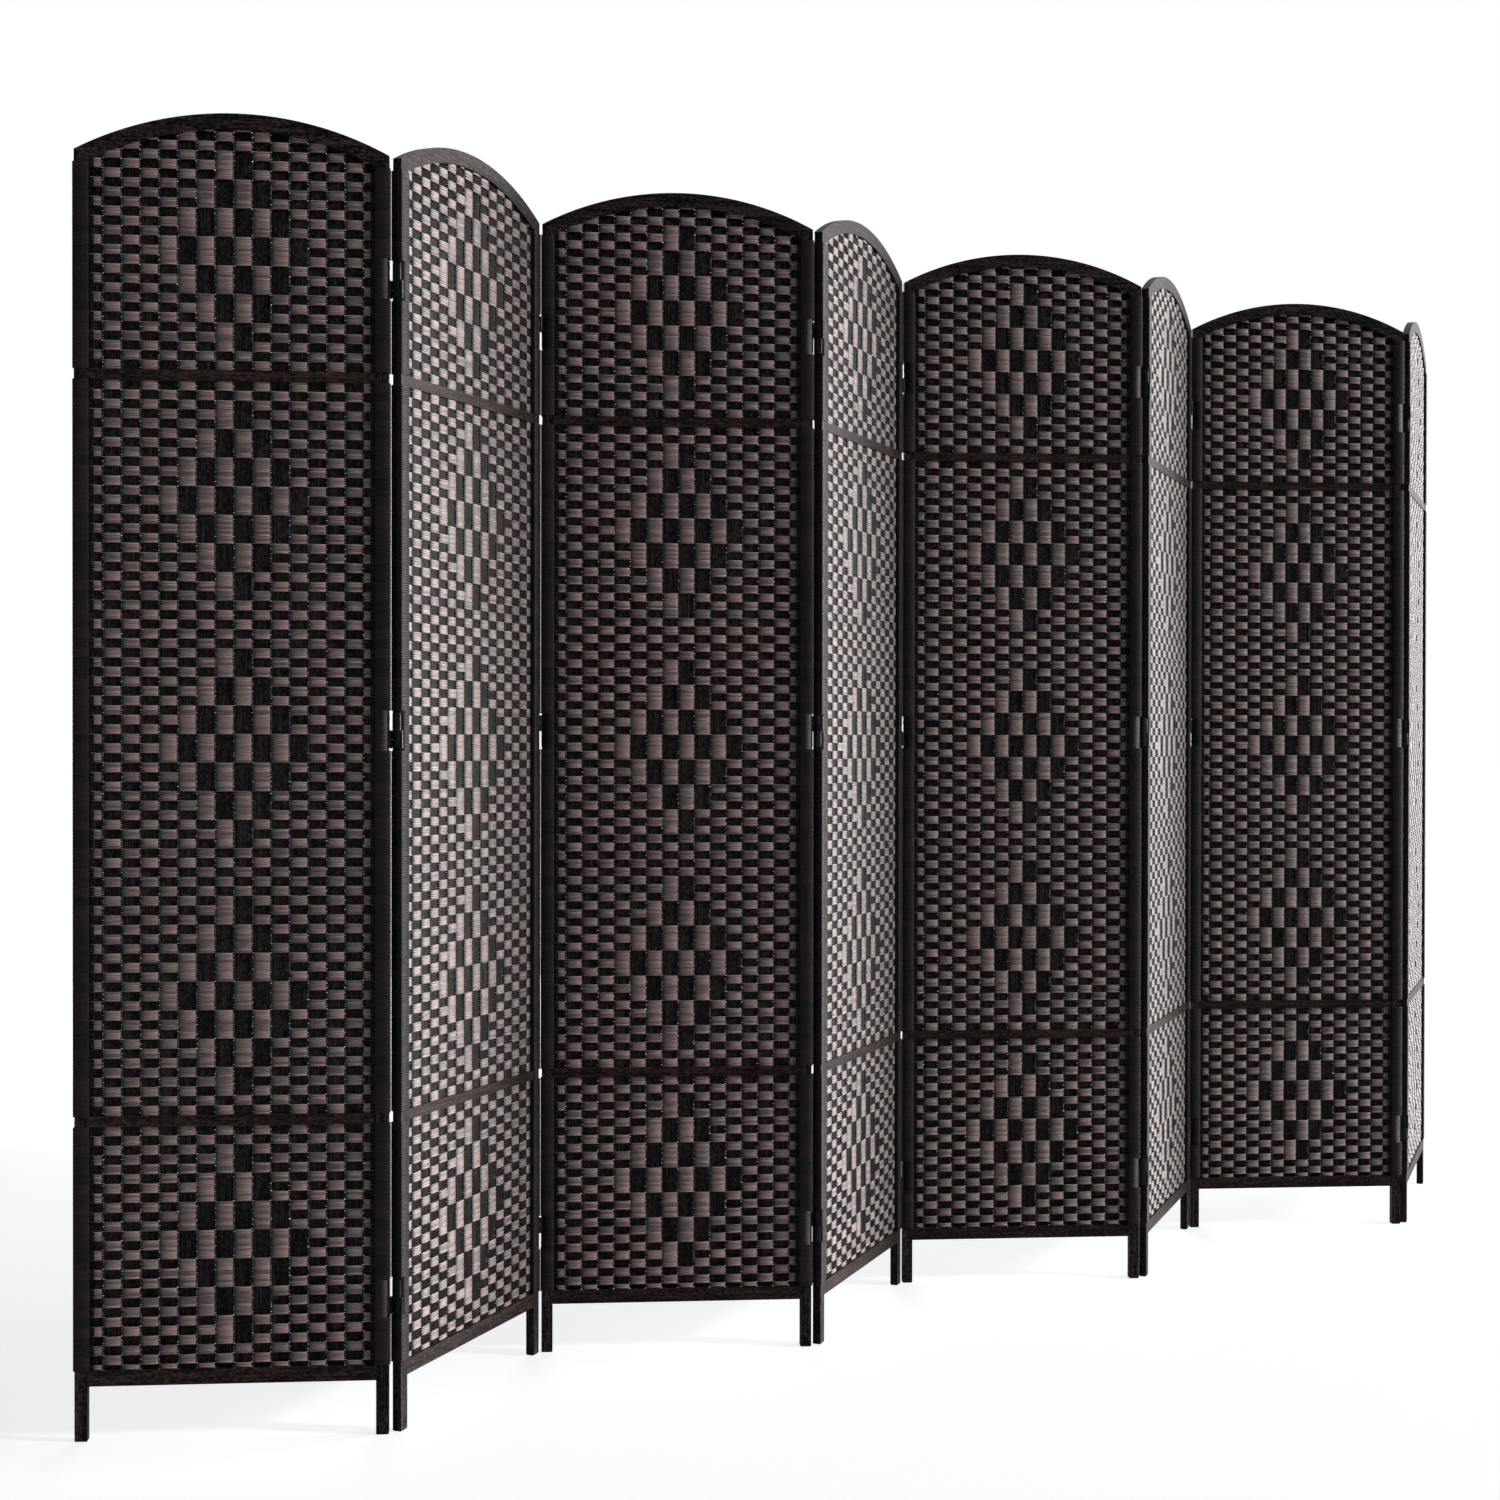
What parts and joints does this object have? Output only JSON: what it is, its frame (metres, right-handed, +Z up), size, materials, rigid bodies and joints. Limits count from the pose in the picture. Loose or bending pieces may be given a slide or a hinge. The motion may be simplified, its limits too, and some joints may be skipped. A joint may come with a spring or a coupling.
{
  "type": "room divider",
  "caption": "Tall folding room divider of arched dark wood panels filled with diamond-pattern woven fibre over flat slats, joined by two-way hinges and standing in a zigzag.",
  "frame": {"origin": "on the floor at the centre of the whole row's bounding box", "axes": "+X along the row from panel 1 to panel 8, +Y away from the viewer, +Z up"},
  "size_m": [2.9504, 0.2426, 1.8],
  "materials": {
    "stained_wood": "satin dark stain",
    "rail_wood": "satin dark reddish stain",
    "slat_wood": "matte dark stain",
    "fibre_weave": "matte twisted fibre strands",
    "hinge_black": "black enamel"
  },
  "bodies": {
    "panel_1": {"panel_1_stiles": "stained_wood", "panel_1_arch_rail": "stained_wood", "panel_1_cross_rails": "rail_wood", "panel_1_slats": "slat_wood", "panel_1_weave": "fibre_weave", "panel_1_hinge_leaves": "hinge_black"},
    "panel_2": {"panel_2_stiles": "stained_wood", "panel_2_arch_rail": "stained_wood", "panel_2_cross_rails": "rail_wood", "panel_2_slats": "slat_wood", "panel_2_weave": "fibre_weave", "panel_2_hinge_leaves": "hinge_black"},
    "panel_3": {"panel_3_stiles": "stained_wood", "panel_3_arch_rail": "stained_wood", "panel_3_cross_rails": "rail_wood", "panel_3_slats": "slat_wood", "panel_3_weave": "fibre_weave", "panel_3_hinge_leaves": "hinge_black"},
    "panel_4": {"panel_4_stiles": "stained_wood", "panel_4_arch_rail": "stained_wood", "panel_4_cross_rails": "rail_wood", "panel_4_slats": "slat_wood", "panel_4_weave": "fibre_weave", "panel_4_hinge_leaves": "hinge_black"},
    "panel_5": {"panel_5_stiles": "stained_wood", "panel_5_arch_rail": "stained_wood", "panel_5_cross_rails": "rail_wood", "panel_5_slats": "slat_wood", "panel_5_weave": "fibre_weave", "panel_5_hinge_leaves": "hinge_black"},
    "panel_6": {"panel_6_stiles": "stained_wood", "panel_6_arch_rail": "stained_wood", "panel_6_cross_rails": "rail_wood", "panel_6_slats": "slat_wood", "panel_6_weave": "fibre_weave", "panel_6_hinge_leaves": "hinge_black"},
    "panel_7": {"panel_7_stiles": "stained_wood", "panel_7_arch_rail": "stained_wood", "panel_7_cross_rails": "rail_wood", "panel_7_slats": "slat_wood", "panel_7_weave": "fibre_weave", "panel_7_hinge_leaves": "hinge_black"},
    "panel_8": {"panel_8_stiles": "stained_wood", "panel_8_arch_rail": "stained_wood", "panel_8_cross_rails": "rail_wood", "panel_8_slats": "slat_wood", "panel_8_weave": "fibre_weave", "panel_8_hinge_leaves": "hinge_black"},
    "hinge_links_1_2": {"hinge_links_1_2": "hinge_black"},
    "hinge_links_2_3": {"hinge_links_2_3": "hinge_black"},
    "hinge_links_3_4": {"hinge_links_3_4": "hinge_black"},
    "hinge_links_4_5": {"hinge_links_4_5": "hinge_black"},
    "hinge_links_5_6": {"hinge_links_5_6": "hinge_black"},
    "hinge_links_6_7": {"hinge_links_6_7": "hinge_black"},
    "hinge_links_7_8": {"hinge_links_7_8": "hinge_black"}
  },
  "joints": [
    {"name": "front_pin_1_2", "type": "hinge", "parent": "panel_2", "child": "hinge_links_1_2", "pos_m": [-1.09784, -0.11954, 0.964], "axis": [0, 0, -1], "range_deg": [-170, 0]},
    {"name": "back_pin_1_2", "type": "hinge", "parent": "hinge_links_1_2", "child": "panel_1", "pos_m": [-1.10663, -0.10546, 0.964], "axis": [0, 0, -1], "range_deg": [-64, 115.5]},
    {"name": "front_pin_2_3", "type": "hinge", "parent": "panel_3", "child": "hinge_links_2_3", "pos_m": [-0.73776, 0.10546, 0.964], "axis": [0, 0, 1], "range_deg": [-64, 115.5]},
    {"name": "back_pin_2_3", "type": "hinge", "parent": "hinge_links_2_3", "child": "panel_2", "pos_m": [-0.74655, 0.11954, 0.964], "axis": [0, 0, 1], "range_deg": [-170, 0]},
    {"name": "front_pin_3_4", "type": "hinge", "parent": "panel_4", "child": "hinge_links_3_4", "pos_m": [-0.36008, -0.11954, 0.964], "axis": [0, 0, -1], "range_deg": [-170, 0]},
    {"name": "back_pin_3_4", "type": "hinge", "parent": "hinge_links_3_4", "child": "panel_3", "pos_m": [-0.36888, -0.10546, 0.964], "axis": [0, 0, -1], "range_deg": [-64, 115.5]},
    {"name": "front_pin_4_5", "type": "hinge", "parent": "panel_5", "child": "hinge_links_4_5", "pos_m": [0, 0.10546, 0.964], "axis": [0, 0, 1], "range_deg": [-64, 115.5]},
    {"name": "back_pin_4_5", "type": "hinge", "parent": "hinge_links_4_5", "child": "panel_4", "pos_m": [-0.0088, 0.11954, 0.964], "axis": [0, 0, 1], "range_deg": [-170, 0]},
    {"name": "back_pin_5_6", "type": "hinge", "parent": "panel_5", "child": "hinge_links_5_6", "pos_m": [0.36888, -0.10546, 0.964], "axis": [0, 0, 1], "range_deg": [-64, 115.5]},
    {"name": "front_pin_5_6", "type": "hinge", "parent": "hinge_links_5_6", "child": "panel_6", "pos_m": [0.37767, -0.11954, 0.964], "axis": [0, 0, 1], "range_deg": [-170, 0]},
    {"name": "back_pin_6_7", "type": "hinge", "parent": "panel_6", "child": "hinge_links_6_7", "pos_m": [0.72896, 0.11954, 0.964], "axis": [0, 0, -1], "range_deg": [-170, 0]},
    {"name": "front_pin_6_7", "type": "hinge", "parent": "hinge_links_6_7", "child": "panel_7", "pos_m": [0.73776, 0.10546, 0.964], "axis": [0, 0, -1], "range_deg": [-64, 115.5]},
    {"name": "back_pin_7_8", "type": "hinge", "parent": "panel_7", "child": "hinge_links_7_8", "pos_m": [1.10663, -0.10546, 0.964], "axis": [0, 0, 1], "range_deg": [-64, 115.5]},
    {"name": "front_pin_7_8", "type": "hinge", "parent": "hinge_links_7_8", "child": "panel_8", "pos_m": [1.11543, -0.11954, 0.964], "axis": [0, 0, 1], "range_deg": [-170, 0]}
  ]
}
